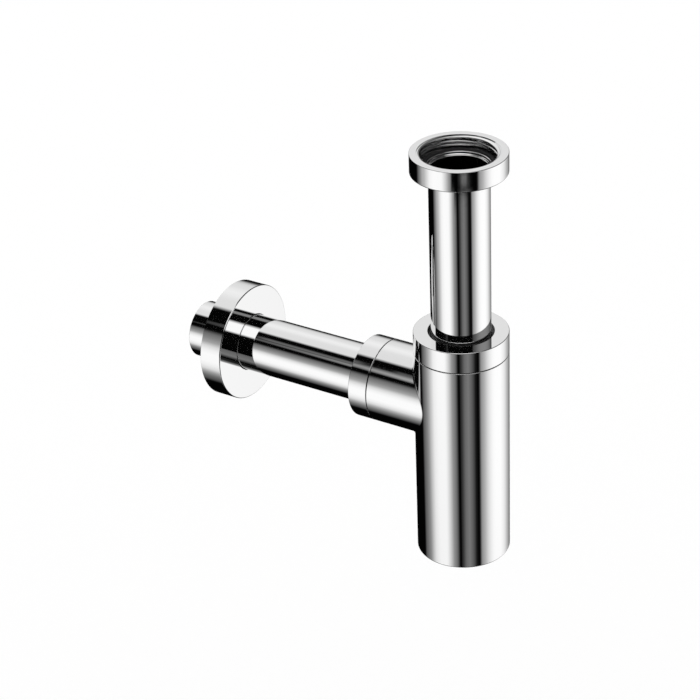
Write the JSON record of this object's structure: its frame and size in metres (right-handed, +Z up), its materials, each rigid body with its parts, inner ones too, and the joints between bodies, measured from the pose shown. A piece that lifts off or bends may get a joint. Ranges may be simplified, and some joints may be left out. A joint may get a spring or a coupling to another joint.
{
  "type": "plumbing trap",
  "caption": "Chromed tubular bottle trap for a washbasin, with a sliding inlet tube and union nut, side outlet, wall tube and deep wall flange.",
  "frame": {"origin": "centre of the inlet nut's mouth, in the plane of its top face", "axes": "+Z up along the inlet tube and bottle to the basin, +Y along the outlet to the wall, +X to the right of someone facing the wall"},
  "size_m": [0.066, 0.194, 0.2373],
  "materials": {
    "chromed_brass": "mirror-polished chrome plate on turned and cast brass",
    "chromed_tube": "mirror-polished chrome plate on drawn brass tube",
    "black_rubber": "moulded black rubber, satin",
    "nylon": "natural nylon, satin",
    "white_plastic": "moulded white polypropylene, satin"
  },
  "bodies": {
    "bottle": {"trap_body": "chromed_brass", "dip_tube": "white_plastic", "rim_seal": "black_rubber"},
    "tube_seal": {"tube_cone_seal": "black_rubber"},
    "inlet": {"inlet_tube": "chromed_tube", "inlet_washer": "black_rubber"},
    "nut_ring": {"nut_slip_ring": "nylon"},
    "nut": {"inlet_nut": "chromed_brass"},
    "cap_ring": {"tube_slip_ring": "nylon"},
    "cap": {"top_cap": "chromed_brass"},
    "outlet_ring": {"outlet_slip_ring": "nylon"},
    "outlet_union": {"outlet_nut": "chromed_brass"},
    "wall_seal": {"outlet_cone_seal": "black_rubber"},
    "wall_pipe": {"wall_tube": "chromed_tube"},
    "grip_ring": {"flange_grip_ring": "black_rubber"},
    "flange": {"wall_flange": "chromed_brass"},
    "plug_ring": {"plug_seal_ring": "black_rubber"},
    "plug": {"cleaning_plug": "chromed_brass"}
  },
  "joints": [
    {"name": "tube_swivel", "type": "hinge", "parent": "bottle", "child": "tube_seal", "pos_m": [0, 0, -0.11], "axis": [0, 0, 1], "continuous": true},
    {"name": "tube_height", "type": "slide", "parent": "tube_seal", "child": "inlet", "axis": [0, 0, 1], "range_m": [-0.04, 0.045]},
    {"name": "nut_drop", "type": "slide", "parent": "inlet", "child": "nut_ring", "axis": [0, 0, -1], "range_m": [0, 0.045]},
    {"name": "nut_turn", "type": "hinge", "parent": "nut_ring", "child": "nut", "pos_m": [0, 0, 0], "axis": [0, 0, 1], "continuous": true},
    {"name": "cap_turn", "type": "hinge", "parent": "cap_ring", "child": "cap", "pos_m": [0, 0, -0.109], "axis": [0, 0, 1], "range_deg": [0, 1260]},
    {"name": "cap_rise", "type": "slide", "parent": "bottle", "child": "cap_ring", "axis": [0, 0, 1], "range_m": [0, 0.00525]},
    {"name": "outlet_nut_turn", "type": "hinge", "parent": "outlet_ring", "child": "outlet_union", "pos_m": [0, 0.052, -0.1462], "axis": [0, 1, 0], "range_deg": [0, 1080]},
    {"name": "outlet_nut_travel", "type": "slide", "parent": "bottle", "child": "outlet_ring", "axis": [0, 1, 0], "range_m": [0, 0.00693]},
    {"name": "wall_tube_swivel", "type": "hinge", "parent": "bottle", "child": "wall_seal", "pos_m": [0, 0.052, -0.1462], "axis": [0, 1, 0], "continuous": true},
    {"name": "wall_tube_reach", "type": "slide", "parent": "wall_seal", "child": "wall_pipe", "axis": [0, 1, 0], "range_m": [-0.01, 0.012]},
    {"name": "flange_slide", "type": "slide", "parent": "wall_pipe", "child": "grip_ring", "axis": [0, 1, 0], "range_m": [-0.055, 0.015]},
    {"name": "flange_turn", "type": "hinge", "parent": "grip_ring", "child": "flange", "pos_m": [0, 0.14, -0.1462], "axis": [0, 1, 0], "continuous": true},
    {"name": "plug_turn", "type": "hinge", "parent": "plug_ring", "child": "plug", "pos_m": [0, 0, -0.235], "axis": [0, 0, -1], "range_deg": [0, 1440]},
    {"name": "plug_drop", "type": "slide", "parent": "bottle", "child": "plug_ring", "axis": [0, 0, -1], "range_m": [0, 0.006]}
  ],
  "couplings": [
    {"joint": "cap_turn", "follows": "cap_rise", "rad_per_m": 4188.8},
    {"joint": "outlet_nut_turn", "follows": "outlet_nut_travel", "rad_per_m": 2721.2},
    {"joint": "plug_turn", "follows": "plug_drop", "rad_per_m": 4188.8}
  ]
}
